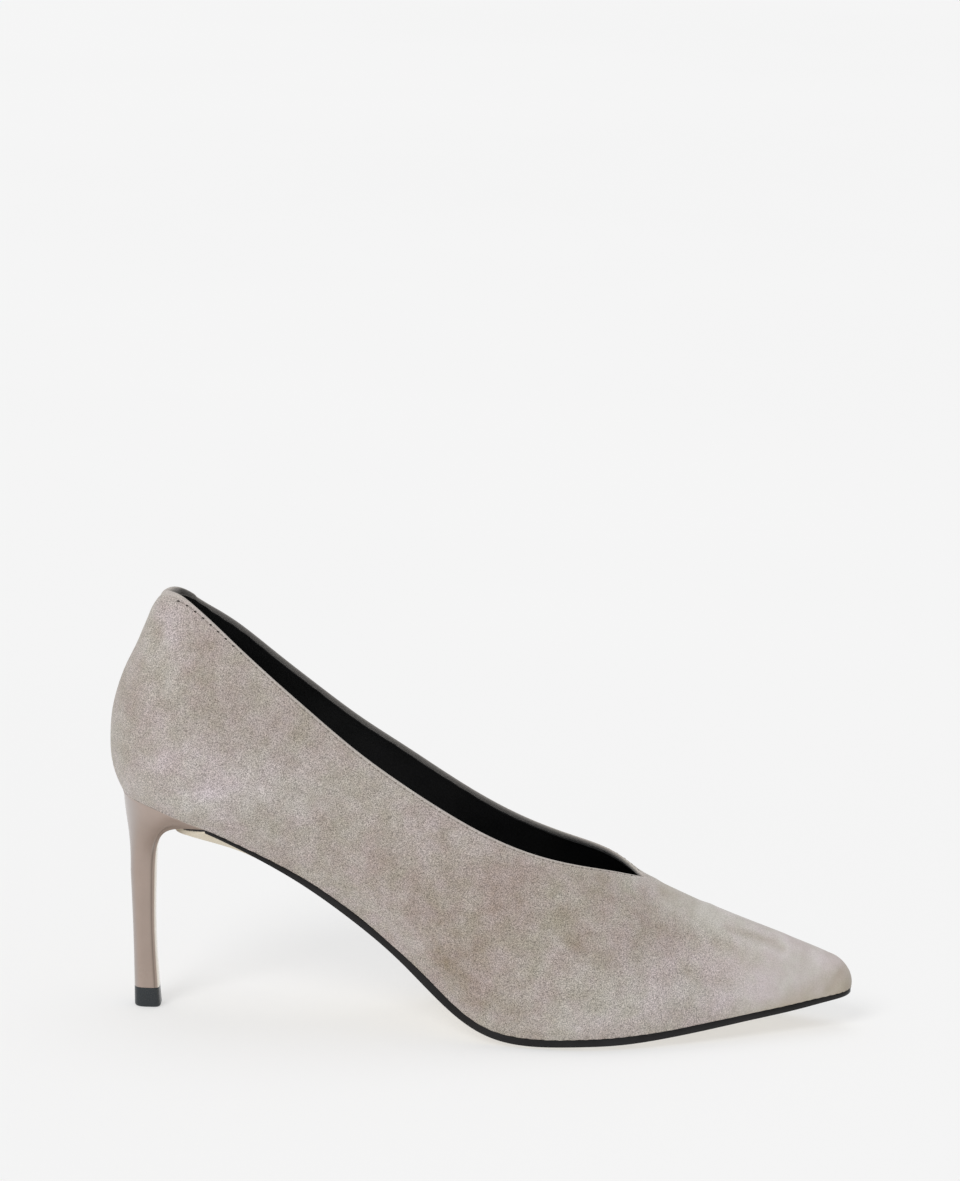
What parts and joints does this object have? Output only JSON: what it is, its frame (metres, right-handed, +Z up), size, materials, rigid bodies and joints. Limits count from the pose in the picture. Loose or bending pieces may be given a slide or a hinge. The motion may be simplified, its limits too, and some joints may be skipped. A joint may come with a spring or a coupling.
{
  "type": "high vamp pump",
  "caption": "Right high vamp pump with a pointed toe, a deep V throat, a hollow suede upper, a thin black sole and a slim high heel, for wearing or display.",
  "frame": {"origin": "middle of the footprint of the shoe's box, on the floor it stands on", "axes": "+X towards the toe, +Z up, +Y towards the inner (medial) side of the foot"},
  "size_m": [0.2512, 0.0746, 0.1434],
  "materials": {
    "upper": "warm grey suede, matt napped",
    "insole": "black smooth sock",
    "outsole": "black satin",
    "heel": "taupe satin lacquer",
    "top_lift": "dark slate, matt"
  },
  "bodies": {
    "root": {"upper": "upper", "insole": "insole", "outsole": "outsole", "heel": "heel", "top_lift": "top_lift"}
  },
  "joints": []
}
